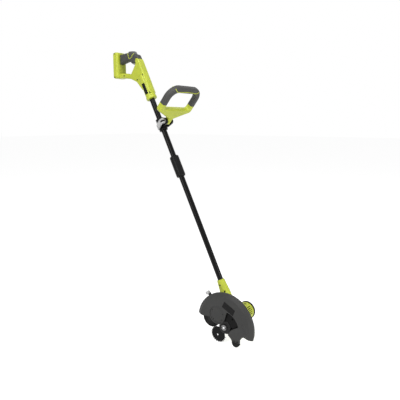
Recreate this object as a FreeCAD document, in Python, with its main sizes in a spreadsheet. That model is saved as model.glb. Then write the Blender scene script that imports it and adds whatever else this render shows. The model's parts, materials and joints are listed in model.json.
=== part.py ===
"""A battery lawn edger: rear handle, two-piece tube, loop handle and cutting head, as separate pieces.

Millimetres, +Z up, +X forward, +Y towards the motor. The blade side faces -Y, and a stand-off is a
distance out of the tube's middle plane towards the blade. The tool stands on its blade tip and skid,
with the origin on the ground straight below the blade's axle.
"""
import FreeCAD, Part
import math
import os
import re
import Sketcher

doc = FreeCAD.newDocument("lawn_edger")
size = doc.addObject("Spreadsheet::Sheet", "size")

SIZES = {
    # stance
    "lean": 26.2,
    "axle_height": 79.2,
    "axle_setback": 9.4,
    "fit": 0.05,
    "seat_gap": 0.3,
    # tubes, coupler and the lead inside them
    "tube_radius": 12.7,
    "tube_wall": 1.5,
    "neck_top": 195,
    "socket_depth": 70,
    "coupler_height": 753,
    "coupler_length": 102,
    "coupler_radius": 21.5,
    "coupler_bevel": 5,
    "coupler_stop": 1,
    "core_length": 84,
    "core_wall": 2,
    "tube_top": 1200,
    "lead_radius": 3.5,
    # rear handle, measured from the top of the tube
    "barrel_radius": 24,
    "barrel_length": 99,
    "barrel_rise": 24,
    "barrel_collar": 14,
    "collar_proud": 1.6,
    "web_width": 40,
    "web_round": 7,
    "bar_bottom": 16,
    "bar_depth": 23,
    "opening_low": 30,
    "opening_front": -48,
    "opening_high": 74,
    "grip_split": 100,
    "block_front": 152.6,
    "block_depth": 34,
    "block_bottom": 16,
    "block_height": 125,
    "block_width": 64,
    "block_round": 11,
    "block_screw_sink": 2.5,
    "port_wall": 12.5,
    "port_floor": 6,
    "grip_width": 36,
    "grip_round": 11,
    "grip_skin": 2.6,
    "grip_top": 136.5,
    "grip_crown": 86,
    "grip_back_top": 129,
    "grip_back_low": 82,
    "grip_belly": 96,
    "grip_nose": 84,
    "slot_width": 13,
    "slot_back": 84,
    "slot_front": 52,
    "key_width": 12,
    "trigger_reach": 75,
    "pin_radius": 2,
    "trigger_pin_in": 56,
    "trigger_pin_up": 100,
    "pin_length": 22,
    "lock_pin_in": 98,
    "lock_pin_up": 127,
    "switch_back": 116,
    "switch_floor": 101,
    "terminal_depth": 20,
    "terminal_width": 34,
    "plug_radius": 8,
    "plug_length": 14,
    "plug_place": 54,
    "switch_length": 28,
    "switch_height": 16,
    "switch_width": 18,
    "lock_back": 104,
    "lock_front": 50,
    "lock_rise": 4.5,
    "badge_length": 56,
    "badge_width": 17,
    "badge_thick": 1.6,
    # loop handle and its clamp
    "clamp_drop": 233,
    "clamp_reach": 40,
    "clamp_length": 58,
    "clamp_radius": 20,
    "ear_radius": 15,
    "ear_thick": 10,
    "tongue_width": 26,
    "bolt_radius": 4,
    "bolt_head": 9,
    "bolt_head_thick": 7,
    "loop_tilt": 39.5,
    "loop_half_width": 113,
    "loop_top": 192,
    "loop_shoulder": 64,
    "loop_section": 29,
    "loop_thick": 28,
    "loop_floor": 76,
    "loop_round": 9,
    "rubber_low": 97,
    "rubber_thick": 2.2,
    "cam_lever_length": 46,
    "cam_lever_height": 22,
    "cam_droop": 15,
    "cam_lever_thick": 7,
    "cam_reach": 8,
    "cam_pin_radius": 3,
    "cam_washer": 3,
    "slit_width": 3,
    # head housing and motor
    "gear_module": 0.7,
    "pinion_teeth": 12,
    "wheel_teeth": 36,
    "tooth_relief": 0.12,
    "housing_radius": 40,
    "housing_wall": 3,
    "housing_front": 34,
    "housing_back": 100,
    "neck_radius": 17.5,
    "neck_flare": 24,
    "neck_waist": 130,
    "cap_length": 17,
    "cap_lip": 2.5,
    "cap_slope": 8,
    "motor_radius": 27,
    "motor_front": 26,
    "motor_length": 62,
    "shaft_radius": 2.5,
    "fan_radius": 31,
    "fan_width": 12,
    "fan_place": 46,
    "fan_vanes": 9,
    "bearing_radius": 11,
    "bearing_width": 8,
    "spindle_radius": 5,
    "collar_radius": 7,
    "gear_width": 10,
    "case_shift": 5,
    "case_drop": 7,
    "case_flange": 39,
    "flange_rim": 3,
    "head_boss_radius": 5,
    "head_boss_reach": 33.2,
    "head_boss_length": 28,
    "head_screw_out": 13,
    "neck_screw_up": 172,
    "vent_width": 3.5,
    "vent_pitch": 8,
    "gear_place": 37,
    "plate_place": 26,
    "case_radius": 30,
    "case_wall": 4,
    "case_front": 69.5,
    "front_bearing_place": 58,
    # guard, blade and skid
    "guard_face": 88,
    "guard_radius": 144,
    "guard_rise": 10.7,
    "guard_wall": 2.5,
    "guard_bevel": 16,
    "guard_bevel_depth": 8,
    "back_thick": 2.5,
    "back_hub": 34,
    "leaf_sink": 0.8,
    "label_sink": 0.4,
    "label_thick": 1,
    "guard_boss_radius": 5,
    "guard_boss_inset": 9,
    "recess_radius": 42,
    "recess_back": 37,
    "recess_up": 51,
    "recess_depth": 3,
    "recess_hole": 2.2,
    "recess_hole_reach": 30,
    "skid_lift": 8,
    "skid_tongue": 3,
    "skid_proud": 2,
    "blade_place": 77,
    "blade_thick": 2.5,
    "lobe_radius": 38.5,
    "lobe_reach": 53,
    "lobe_turn": 50,
    "blade_waist": 25,
    "tooth_depth": 5,
    "tooth_count": 16,
    "tooth_width": 10,
    "lobe_sweep": 236,
    "blade_hole": 4,
    "flange_radius": 20,
    "flange_thick": 4,
    "washer_radius": 29,
    "washer_thick": 2.4,
    "nut_radius": 13,
    "nut_height": 7,
    "nut_slot": 3,
    # wheel and its depth lever
    "post_radius": 15,
    "post_back": 20.1,
    "post_up": 62.1,
    "arm_place": 62.8,
    "arm_thick": 3.5,
    "arm_ring": 21,
    "wheel_back": 62.1,
    "wheel_drop": 10.7,
    "wheel_radius": 43,
    "wheel_width": 26,
    "wheel_bore": 6,
    "wheel_axle_head": 10,
    "knob_out": 13,
    "knob_angle": 101.8,
    "knob_radius": 7.5,
    "knob_height": 16,
    # fasteners
    "screw_radius": 1.8,
    "screw_head": 3.8,
    "screw_head_thick": 2.4,
    "screw_length": 22,
    "guard_screw_length": 12,
}
for row, (name, number) in enumerate(SIZES.items(), start=1):
    size.set(f"A{row}", name)
    size.set(f"B{row}", str(number))
    size.setAlias(f"B{row}", name)
doc.recompute()

CLAMP_UP = "(tube_top - clamp_drop)"
GEAR_UP = "sqrt((gear_module * (pinion_teeth + wheel_teeth) / 2)^2 - axle_setback^2)"
NAMES = re.compile(r"\b(" + "|".join(sorted(SIZES, key=len, reverse=True)) + r")\b")
subparts = []


def link(text):
    """A formula over the sheet's names, as FreeCAD's expressions write it."""
    return NAMES.sub(r"size.\1", str(text))


def number(text):
    """What a formula over the sheet's names comes to now."""
    return float(size.evalExpression(link(text)))


def bind(item, path, text):
    """Ties one property of an object to a formula over the sheet's names."""
    item.setExpression(path, link(text))


def place(item, frame, x=0, y=0, z=0):
    """Stands an object in one of the tool's frames: along the tube, level at the axle, the rear handle
    or the loop handle."""
    if frame == "tube":
        base_x = "axle_setback * cos(lean)"
        base_z = "(axle_height + axle_setback * sin(lean))"
        turn, angle = FreeCAD.Vector(0, -1, 0), "lean"
        out_x = f"{base_x} + ({x}) * cos(lean) - ({z}) * sin(lean)"
        out_z = f"{base_z} + ({x}) * sin(lean) + ({z}) * cos(lean)"
    if frame == "axle":
        turn, angle = FreeCAD.Vector(0, -1, 0), "0"
        out_x, out_z = f"{x}", f"axle_height + ({z})"
    if frame == "handle":
        turn, angle = FreeCAD.Vector(0, -1, 0), "0"
        out_x = f"axle_setback * cos(lean) - tube_top * sin(lean) + ({x})"
        out_z = f"axle_height + axle_setback * sin(lean) + tube_top * cos(lean) + ({z})"
    if frame == "loop":
        turn, angle = FreeCAD.Vector(0, 1, 0), "loop_tilt"
        out_x = f"(axle_setback + clamp_reach) * cos(lean) - {CLAMP_UP} * sin(lean) + ({x})"
        out_z = f"axle_height + (axle_setback + clamp_reach) * sin(lean) + {CLAMP_UP} * cos(lean) + ({z})"
    item.Placement = FreeCAD.Placement(FreeCAD.Vector(), FreeCAD.Rotation(turn, max(number(angle), 0.001)))
    if angle != "0":
        bind(item, "Placement.Rotation.Angle", angle)
    else:
        item.Placement = FreeCAD.Placement()
    bind(item, "Placement.Base.x", out_x)
    bind(item, "Placement.Base.y", f"{y}")
    bind(item, "Placement.Base.z", out_z)


def keep(item, label):
    """Adds an object to the sub-parts that are written out."""
    item.Label = label
    subparts.append(item)
    return item


def new_body(label, frame, x=0, y=0, z=0, kept=True):
    """A PartDesign body standing in one of the tool's frames."""
    body = doc.addObject("PartDesign::Body", label)
    if frame:
        place(body, frame, x, y, z)
    if kept:
        keep(body, label)
    return body


def new_sketch(body, plane="XZ_Plane", out="0"):
    """A sketch on one of the body's own planes, moved out along that plane's normal."""
    sketch = body.newObject("Sketcher::SketchObject", body.Name + "_sketch")
    origin = [f for f in body.Origin.OriginFeatures if f.Role == plane][0]
    sketch.AttachmentSupport = (origin, "")
    sketch.MapMode = "FlatFace"
    bind(sketch, "AttachmentOffset.Base.z", out)
    return sketch


def fix_point(sketch, geometry, position, x, y):
    """Holds one sketch point at a place given by two formulas."""
    for kind, text in (("DistanceX", x), ("DistanceY", y)):
        index = sketch.addConstraint(Sketcher.Constraint(kind, -1, 1, geometry, position, number(text)))
        sketch.setExpression(f"Constraints[{index}]", link(text))


def circle(sketch, x, y, radius):
    """A circle whose centre and radius follow the sheet."""
    centre = FreeCAD.Vector(number(x), number(y), 0)
    index = sketch.addGeometry(Part.Circle(centre, FreeCAD.Vector(0, 0, 1), number(radius)), False)
    fix_point(sketch, index, 3, x, y)
    held = sketch.addConstraint(Sketcher.Constraint("Radius", index, number(radius)))
    sketch.setExpression(f"Constraints[{held}]", link(radius))


def outline(sketch, corners):
    """A closed loop of straight runs through corners (x, y, rounding), a rounding of 0 being sharp."""
    spots = [FreeCAD.Vector(number(x), number(y), 0) for x, y, _ in corners]
    radii = [number(r) for _, _, r in corners]
    starts, ends, arcs = [], [], []
    for i, spot in enumerate(spots):
        back = (spots[i - 1] - spot).normalize()
        ahead = (spots[(i + 1) % len(spots)] - spot).normalize()
        if radii[i] == 0:
            starts.append(spot)
            ends.append(spot)
            arcs.append(None)
            continue
        half = back.getAngle(ahead) / 2
        reach = radii[i] / math.tan(half)
        middle = spot + (back + ahead).normalize() * (radii[i] / math.sin(half) - radii[i])
        starts.append(spot + back * reach)
        ends.append(spot + ahead * reach)
        arcs.append(Part.Arc(starts[-1], middle, ends[-1]))
    lines = []
    for i in range(len(spots)):
        run = Part.LineSegment(ends[i], starts[(i + 1) % len(spots)])
        lines.append(sketch.addGeometry(run, False))
    for i, (x, y, rounding) in enumerate(corners):
        before, after = lines[i - 1], lines[i]
        if arcs[i] is None:
            sketch.addConstraint(Sketcher.Constraint("Coincident", before, 2, after, 1))
            fix_point(sketch, after, 1, x, y)
            continue
        bend = sketch.addGeometry(arcs[i], False)
        first, last = arc_ends(sketch, bend, starts[i])
        corner = sketch.addGeometry(Part.Point(spots[i]), True)
        fix_point(sketch, corner, 1, x, y)
        sketch.addConstraint(Sketcher.Constraint("PointOnObject", corner, 1, before))
        sketch.addConstraint(Sketcher.Constraint("PointOnObject", corner, 1, after))
        sketch.addConstraint(Sketcher.Constraint("Tangent", before, 2, bend, first))
        sketch.addConstraint(Sketcher.Constraint("Tangent", after, 1, bend, last))
        held = sketch.addConstraint(Sketcher.Constraint("Radius", bend, radii[i]))
        sketch.setExpression(f"Constraints[{held}]", link(rounding))


def arc_ends(sketch, arc, start):
    """Which end of an arc in a sketch lies at its start, and which at its far end."""
    at_first = (sketch.getPoint(arc, 1) - start).Length < 1e-6
    return (1, 2) if at_first else (2, 1)


def rectangle(sketch, x0, y0, x1, y1, rounding=0):
    """A rectangle between two opposite corners."""
    outline(sketch, [(x0, y0, rounding), (x1, y0, rounding), (x1, y1, rounding), (x0, y1, rounding)])


def pad(body, sketch, length, both=False, back=False):
    """Material along the sketch's normal, or evenly to both sides of it."""
    feature = body.newObject("PartDesign::Pad", body.Name + "_pad")
    feature.Profile = sketch
    feature.Midplane = both
    feature.Reversed = back
    bind(feature, "Length", length)
    sketch.Visibility = False
    return feature


def pocket(body, sketch, length="0", both=False, back=False, through=False):
    """A cut against the sketch's normal, to both sides of it, or right through."""
    feature = body.newObject("PartDesign::Pocket", body.Name + "_pocket")
    feature.Profile = sketch
    feature.Midplane = both
    feature.Reversed = back
    if through:
        feature.Type = "ThroughAll"
    else:
        bind(feature, "Length", length)
    return feature


def turned(label, frame, corners, axis="Y", x=0, y=0, z=0, kept=True):
    """A piece turned about its own Y or Z axis from corners (radius, place along the axis, rounding)."""
    body = new_body(label, frame, x, y, z, kept)
    sketch = new_sketch(body, "XY_Plane" if axis == "Y" else "XZ_Plane")
    if axis == "Y":
        corners = [(r, f"-({a})", c) for r, a, c in corners]
    outline(sketch, corners)
    feature = body.newObject("PartDesign::Revolution", body.Name + "_turn")
    feature.Profile = sketch
    feature.ReferenceAxis = (sketch, ["V_Axis"])
    feature.Angle = 360
    return body


def ring(label, frame, outer, inner, low, high, axis="Y", x=0, y=0, z=0, kept=True):
    """A plain ring or, with an inner radius of 0, a plain pin."""
    corners = [(inner, low, 0), (outer, low, 0), (outer, high, 0), (inner, high, 0)]
    return turned(label, frame, corners, axis, x, y, z, kept)


def soften(body, radius, chosen):
    """Rounds the edges of the body's last feature that the test picks."""
    doc.recompute()
    base = body.Tip
    edges = [f"Edge{i}" for i, e in enumerate(base.Shape.Edges, start=1) if chosen(e)]
    feature = body.newObject("PartDesign::Fillet", body.Name + "_round")
    feature.Base = (base, edges)
    bind(feature, "Radius", radius)
    return feature


def at_side(offset, axis="Y", seam=None):
    """Picks edges that lie flat at a distance either side of the body's middle plane, but leaves those
    along a seam at one height."""
    def test(edge):
        box = edge.BoundBox
        low, high = getattr(box, axis + "Min"), getattr(box, axis + "Max")
        at_seam = seam is not None and abs(box.ZMax - number(seam)) + abs(box.ZMin - number(seam)) < 1e-4
        return abs(abs(low) - number(offset)) < 1e-4 and abs(high - low) < 1e-4 and not at_seam
    return test


def along_tube(sketch, out):
    """Turns a sketch of the rear handle square to the tube, at a distance up from the tube's top."""
    sketch.setExpression("AttachmentOffset.Base.z", None)
    tilted = FreeCAD.Rotation(FreeCAD.Vector(0, -1, 0), 1)
    sketch.AttachmentOffset = FreeCAD.Placement(FreeCAD.Vector(), tilted)
    bind(sketch, "AttachmentOffset.Rotation.Angle", "lean")
    bind(sketch, "AttachmentOffset.Base.x", f"-({out}) * sin(lean)")
    bind(sketch, "AttachmentOffset.Base.z", f"({out}) * cos(lean)")
    return sketch


def block(label, frame, x0, x1, y0, y1, z0, z1):
    """A plain box between two opposite corners."""
    box = keep(doc.addObject("Part::Box", label), label)
    bind(box, "Length", f"({x1}) - ({x0})")
    bind(box, "Width", f"({y1}) - ({y0})")
    bind(box, "Height", f"({z1}) - ({z0})")
    place(box, frame, x0, y0, z0)
    return box


def half_space(name, frame, side_x=0, side_y=0):
    """A large box on one side of a middle plane, for parting a shell into its halves."""
    reach = 400
    box = doc.addObject("Part::Box", name)
    box.Length, box.Width, box.Height = 2 * reach, 2 * reach, 2 * reach
    place(box, frame, (side_x - 1) * reach, (side_y - 1) * reach, -reach)
    return box


def combined(kind, label, base, tool, kept=True):
    """The cut or the common part of two objects."""
    result = doc.addObject("Part::" + kind, label)
    result.Base, result.Tool = base, tool
    return keep(result, label) if kept else result


def screw_set(label, frame, spots, length="screw_length", turn=(FreeCAD.Vector(1, 0, 0), 90)):
    """Screws with flat round heads, one solid each; spots give the middle of each head's outer face and
    the shank runs from there along the way that +Y is turned."""
    screws = []
    for x, y, z in spots:
        profile = [("0", "0", 0), ("screw_head", "0", 0), ("screw_head", "screw_head_thick", 0),
                   ("screw_radius", "screw_head_thick", 0), ("screw_radius", length, 0), ("0", length, 0)]
        wire = doc.addObject("Part::Feature", label + "_profile")
        points = [FreeCAD.Vector(number(r), 0, -number(a)) for r, a, _ in profile]
        face = Part.Face(Part.makePolygon(points + points[:1]))
        wire.Shape = face.revolve(FreeCAD.Vector(), FreeCAD.Vector(0, 0, 1), 360)
        wire.Placement = FreeCAD.Placement(FreeCAD.Vector(), FreeCAD.Rotation(*turn))
        for path, text in (("x", x), ("y", y), ("z", z)):
            bind(wire, "Placement.Base." + path, text)
        screws.append(wire)
    compound = doc.addObject("Part::Compound", label)
    compound.Links = screws
    place(compound, frame)
    return keep(compound, label)


# ---- rear handle -------------------------------------------------------------------------------

BLOCK_BACK = "(block_front + block_depth)"
CORE_WIDTH = "(grip_width - 2 * grip_skin)"
GRIP_CORE = [
    ("-block_front - 1", "grip_back_top - grip_skin", 0),
    ("-grip_crown", "grip_top - grip_skin", 40),
    ("-38", "grip_top - 19", 12),
    ("-24", "grip_split", 0),
    ("-40", "grip_split - 16", 0),
    ("-74", "grip_nose + 3", 12),
    ("-grip_crown - 4", "grip_belly + grip_skin", 12),
    ("-140", "grip_back_low + grip_skin + 3", 12),
    ("-block_front - 1", "grip_back_low + grip_skin", 0),
]
SCREW_SPOTS = [("4", "24"), ("-32", "3"), ("46", "-58"), ("-120", "27")]
BLOCK_SCREWS = [("-block_front - 22", "block_bottom + block_height - port_wall / 2 - 1"),
                ("-block_front - 22", "block_bottom + port_wall / 2 + 1")]


def grip_core(body):
    """The hard bar inside the soft grip."""
    core = new_sketch(body)
    outline(core, GRIP_CORE)
    pad(body, core, CORE_WIDTH, both=True)
    soften(body, "grip_round - grip_skin", at_side(CORE_WIDTH + " / 2"))
    return body


def handle_web():
    """The web below and in front of the grip, and the bar under the finger gap."""
    body = new_body("handle_web", "", kept=False)
    web = new_sketch(body)
    outline(web, [
        ("-grip_split * tan(lean) + barrel_radius / cos(lean) - 2", "grip_split", 0),
        ("60 * tan(lean) + barrel_radius / cos(lean) - 2", "-60", 0),
        ("45 * tan(lean) - barrel_radius / cos(lean) + 2", "-45", 10),
        ("-39", "-7", 30),
        ("-76", "bar_bottom - 7", 50),
        ("-122", "bar_bottom", 0),
        ("-block_front - block_round", "bar_bottom", 0),
        ("-block_front - block_round", "bar_bottom + bar_depth", 0),
        ("-107", "bar_bottom + bar_depth - 1", 10),
        ("-77", "opening_low", 6),
        ("opening_front", "opening_high", 4),
        ("-40", "grip_split", 0),
    ])
    pad(body, web, "web_width", both=True)
    soften(body, "web_round", at_side("web_width / 2"))
    return body


def handle_shell():
    """Both halves of the rear handle as one shell: grip core, web, battery block and barrel."""
    barrel = new_body("handle_barrel", "", kept=False)
    around_tube = along_tube(new_sketch(barrel, "XY_Plane"), "-barrel_length + barrel_collar / 2")
    circle(around_tube, "0", "0", "barrel_radius")
    pad(barrel, around_tube, "barrel_length - barrel_collar / 2 + barrel_rise")
    collar = new_body("handle_collar", "", kept=False)
    rim = along_tube(new_sketch(collar, "XY_Plane"), "-barrel_length")
    circle(rim, "0", "0", "barrel_radius + collar_proud")
    pad(collar, rim, "barrel_collar")
    soften(collar, "barrel_collar / 4", lambda edge: edge.isClosed())
    battery_block = new_body("handle_block", "", kept=False)
    side = new_sketch(battery_block)
    rectangle(side, f"-{BLOCK_BACK}", "block_bottom", "-block_front", "block_bottom + block_height",
              "block_round")
    pad(battery_block, side, "block_width", both=True)
    soften(battery_block, "block_round - 1", at_side("block_width / 2"))
    fused = doc.addObject("Part::MultiFuse", "handle_solid")
    core = grip_core(new_body("handle_core", "", kept=False))
    fused.Shapes = [handle_web(), core, barrel, collar, battery_block]
    body = new_body("handle_shell", "handle", kept=False)
    body.BaseFeature = fused
    cut_handle(body)
    return body


def cut_handle(body):
    """The hollows of the rear handle: battery port, switch bay, slots, tube socket and screw holes."""
    port = new_sketch(body)
    rectangle(port, f"-{BLOCK_BACK} - 1", "block_bottom + port_wall", "-block_front - port_floor",
              "block_bottom + block_height - port_wall")
    pocket(body, port, "block_width - 2 * port_wall", both=True)
    bay = new_sketch(body)
    rectangle(bay, "-switch_back", "switch_floor", "-66", "switch_floor + 21")
    pocket(body, bay, "switch_width + 6", both=True)
    trigger_slot = new_sketch(body)
    rectangle(trigger_slot, "-slot_back", "70", "-slot_front", "trigger_pin_up + 6")
    pocket(body, trigger_slot, "slot_width", both=True)
    lock_slot = new_sketch(body)
    rectangle(lock_slot, "-lock_back", "switch_floor + 13", "-lock_front", "grip_top + 10")
    pocket(body, lock_slot, "slot_width", both=True)
    pins = new_sketch(body)
    circle(pins, "-trigger_pin_in", "trigger_pin_up", "pin_radius + fit")
    circle(pins, "-lock_pin_in", "lock_pin_up", "pin_radius + fit")
    pocket(body, pins, "pin_length", both=True)
    socket = along_tube(new_sketch(body, "XY_Plane"), "0")
    circle(socket, "0", "0", "tube_radius + fit")
    pocket(body, socket, "barrel_length + 5")
    channel = along_tube(new_sketch(body, "XY_Plane"), "0")
    circle(channel, "0", "0", "plug_radius + fit")
    pocket(body, channel, "plug_place + plug_length", back=True)
    for spots, out, sink in ((SCREW_SPOTS, "web_width / 2", "0"),
                             (BLOCK_SCREWS, "block_width / 2", "block_screw_sink")):
        for radius, depth in (("screw_radius + fit", f"screw_length + 1 + {sink}"),
                              ("screw_head + fit", f"screw_head_thick + {sink}")):
            holes = new_sketch(body, out=out)
            for x, z in spots:
                circle(holes, x, z, radius)
            pocket(body, holes, depth)


def rear_handle():
    """The two halves of the rear handle, its soft grip, screws and name plate left bare."""
    shell = handle_shell()
    badge = block("handle_badge", "tube", "-badge_width / 2", "badge_width / 2", "-barrel_radius - 0.2",
                  "-barrel_radius + badge_thick", "tube_top - 46 - badge_length / 2",
                  "tube_top - 46 + badge_length / 2")
    left = combined("Common", "handle_left_blank", shell, half_space("blade_side", "handle", 0, -1), False)
    combined("Cut", "handle_left_half", left, badge)
    combined("Common", "handle_right_half", shell, half_space("motor_side", "handle", 0, 1))
    grip = new_body("grip_blank", "handle", kept=False)
    skin = new_sketch(grip)
    outline(skin, [
        ("-block_front", "grip_back_top", 0),
        ("-grip_crown", "grip_top", 40),
        ("-35", "grip_top - 16", 12),
        ("-grip_split * tan(lean) + barrel_radius / cos(lean) - 2", "grip_split", 0),
        ("-40", "grip_split", 0),
        ("opening_front - 1", "grip_nose - 4", 4),
        ("-75", "grip_nose", 5),
        ("-grip_crown - 6", "grip_belly", 14),
        ("-138", "grip_back_low + 4", 10),
        ("-block_front", "grip_back_low", 0),
    ])
    pad(grip, skin, "grip_width", both=True)
    soften(grip, "grip_round", at_side("grip_width / 2"))
    for low, high, floor, roof in (("-slot_back", "-slot_front", "70", "trigger_pin_up"),
                                   ("-lock_back", "-lock_front", "trigger_pin_up + 10", "grip_top + 10")):
        slot = new_sketch(grip)
        rectangle(slot, low, floor, high, roof)
        pocket(grip, slot, "slot_width", both=True)
    combined("Cut", "rear_grip", grip, grip_core(new_body("grip_bar", "handle", kept=False)))
    heads = [(x, "-web_width / 2", z) for x, z in SCREW_SPOTS]
    heads += [(x, "-block_width / 2 + block_screw_sink", z) for x, z in BLOCK_SCREWS]
    screw_set("handle_screws", "handle", heads)


def controls():
    """Trigger, lock-off key, switch, their pins and springs, and the battery terminals."""
    trigger = new_body("trigger", "handle")
    shape = new_sketch(trigger)
    outline(shape, [
        ("-81", "trigger_pin_up + 4", 2),
        ("-trigger_pin_in + 3.5", "trigger_pin_up + 4", 2),
        ("-trigger_pin_in + 4", "grip_nose - 3", 2),
        ("-62", "trigger_reach", 3),
        ("-80", "grip_nose - 1", 4),
    ])
    circle(shape, "-trigger_pin_in", "trigger_pin_up", "pin_radius + fit")
    pad(trigger, shape, "key_width", both=True)
    lock = new_body("lock_key", "handle")
    shape = new_sketch(lock)
    outline(shape, [
        ("-lock_back + 1", "lock_pin_up - 3", 1),
        ("-lock_front - 2", "lock_pin_up - 6", 1),
        ("-lock_front - 2", "grip_top - 9", 2),
        ("-lock_front - 10", "grip_top - 2 + lock_rise", 8),
        ("-grip_crown", "grip_top + lock_rise", 20),
        ("-lock_back + 6", "grip_top + lock_rise - 1", 4),
        ("-lock_back + 1", "grip_top - 4", 2),
    ])
    circle(shape, "-lock_pin_in", "lock_pin_up", "pin_radius + fit")
    pad(lock, shape, "key_width", both=True)
    for label, x, z in (("trigger_pin", "-trigger_pin_in", "trigger_pin_up"),
                        ("lock_pin", "-lock_pin_in", "lock_pin_up")):
        ring(label, "handle", "pin_radius", "0", "-pin_length / 2", "pin_length / 2", x=x, z=z)
    ring("trigger_spring", "handle", "3.5", "2.6", "0", "switch_floor + 21 - trigger_pin_up - 4", "Z",
         x="-75", z="trigger_pin_up + 4")
    ring("lock_spring", "handle", "3.2", "2.4", "0", "lock_pin_up - 6 - switch_floor - 13", "Z",
         x="-57", z="switch_floor + 13")
    block("trigger_switch", "handle", "-switch_back", "-switch_back + switch_length", "-switch_width / 2",
          "switch_width / 2", "switch_floor", "switch_floor + switch_height")
    floor = "-block_front - port_floor"
    terminals = new_body("battery_terminals", "handle")
    shape = new_sketch(terminals)
    rectangle(shape, f"{floor} - terminal_depth", "block_bottom + 30", floor,
              "block_bottom + block_height - 26", "2")
    pad(terminals, shape, "terminal_width", both=True)
    slots = new_sketch(terminals)
    rectangle(slots, f"{floor} - terminal_depth - 1", "block_bottom + 38", f"{floor} - 4",
              "block_bottom + block_height - 34")
    pocket(terminals, slots, "terminal_width - 10", both=True)
    blades = []
    for step in (-1, 0, 1):
        blade = doc.addObject("Part::Box", "contact_blade")
        bind(blade, "Length", "terminal_depth - 6")
        bind(blade, "Width", "1.2")
        bind(blade, "Height", "block_height - 80")
        bind(blade, "Placement.Base.x", f"{floor} - terminal_depth + 2")
        bind(blade, "Placement.Base.y", f"{step} * terminal_width / 4 - 0.6")
        bind(blade, "Placement.Base.z", "block_bottom + 42")
        blades.append(blade)
    contacts = doc.addObject("Part::Compound", "battery_contacts")
    contacts.Links = blades
    place(contacts, "handle")
    keep(contacts, "battery_contacts")


# ---- tube --------------------------------------------------------------------------------------

def tube():
    """Lower and upper tube, the coupler that joins them, and the motor's lead inside."""
    inner = "tube_radius - tube_wall"
    low = "neck_top - socket_depth"
    lower = ring("lower_tube", "tube", "tube_radius", inner, low, "coupler_height - coupler_stop / 2", "Z")
    hole = new_sketch(lower, out="neck_radius")
    circle(hole, "0", "neck_screw_up", "screw_radius + fit")
    pocket(lower, hole, "neck_radius")
    ring("upper_tube", "tube", "tube_radius", inner, "coupler_height + coupler_stop / 2", "tube_top", "Z")
    half = "coupler_length / 2"
    turned("coupler_sleeve", "tube", [
        ("tube_radius + fit", f"-{half}", 0),
        ("coupler_radius - coupler_bevel / 2", f"-{half}", 0),
        ("coupler_radius", f"-{half} + coupler_bevel", 0),
        ("coupler_radius", f"{half} - coupler_bevel", 0),
        ("coupler_radius - coupler_bevel / 2", half, 0),
        ("tube_radius + fit", half, 0),
    ], "Z", z="coupler_height")
    ring("coupler_core", "tube", f"{inner} - fit", f"{inner} - fit - core_wall", "-core_length / 2",
         "core_length / 2", "Z", z="coupler_height")
    ring("motor_lead", "tube", "lead_radius", "0", f"{GEAR_UP} + motor_radius + seat_gap",
         "tube_top + plug_place", "Z")
    ring("lead_plug", "tube", "plug_radius", "0", "tube_top + plug_place",
         "tube_top + plug_place + plug_length", "Z")


# ---- loop handle -------------------------------------------------------------------------------

def loop_arch(inset):
    """The upper part of the loop as an arch, pulled in on every side."""
    reach = f"(loop_half_width - {inset})"
    inside = f"(loop_half_width - loop_section + {inset})"
    crown = f"loop_top - {inset}"
    vault = f"loop_top - loop_section + {inset}"
    low = "rubber_low"
    return [
        (reach, low, 0), (reach, crown, f"60 - {inset}"), (f"-{reach}", crown, f"60 - {inset}"),
        (f"-{reach}", low, 0), (f"-{inside}", low, 0), (f"-{inside}", vault, f"34 + {inset}"),
        (inside, vault, f"34 + {inset}"), (inside, low, 0),
    ]


def loop_bow(name, inset):
    """The arch as a rounded bar, pulled in on every side."""
    body = new_body(name, "loop", kept=False)
    arch = new_sketch(body, "YZ_Plane")
    outline(arch, loop_arch(inset))
    pad(body, arch, f"loop_thick - 2 * {inset}", both=True)
    soften(body, f"loop_round - {inset}", at_side(f"loop_thick / 2 - {inset}", "X", "rubber_low"))
    return body


def loop_handle():
    """The loop: a moulded frame with a tongue at its pivot and a rubber grip over its arch."""
    frame = new_body("loop_base", "loop", kept=False)
    lower = new_sketch(frame, "YZ_Plane")
    inside = "(loop_half_width - loop_section)"
    outline(lower, [
        ("tongue_width / 2", "-ear_radius + 1", 0),
        ("tongue_width / 2", "ear_radius + 4", 8),
        ("loop_half_width - 36", "loop_shoulder - 18", 30),
        ("loop_half_width", "loop_shoulder - 4", 18),
        ("loop_half_width", "rubber_low", 0),
        (inside, "rubber_low", 0),
        (inside, "loop_floor", 10),
        (f"-{inside}", "loop_floor", 10),
        (f"-{inside}", "rubber_low", 0),
        ("-loop_half_width", "rubber_low", 0),
        ("-loop_half_width", "loop_shoulder - 4", 18),
        ("-loop_half_width + 36", "loop_shoulder - 18", 30),
        ("-tongue_width / 2", "ear_radius + 4", 8),
        ("-tongue_width / 2", "-ear_radius + 1", 0),
    ])
    pad(frame, lower, "loop_thick", both=True)
    soften(frame, "loop_round", at_side("loop_thick / 2", "X", "rubber_low"))
    bore = new_sketch(frame)
    circle(bore, "0", "0", "bolt_radius + fit")
    pocket(frame, bore, "2 * tongue_width", both=True)
    core = loop_bow("loop_bow", "rubber_thick")
    fused = doc.addObject("Part::Fuse", "loop_frame")
    fused.Base, fused.Tool = frame, core
    keep(fused, "loop_frame")
    combined("Cut", "loop_grip", loop_bow("loop_skin", "0"), core)


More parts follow.
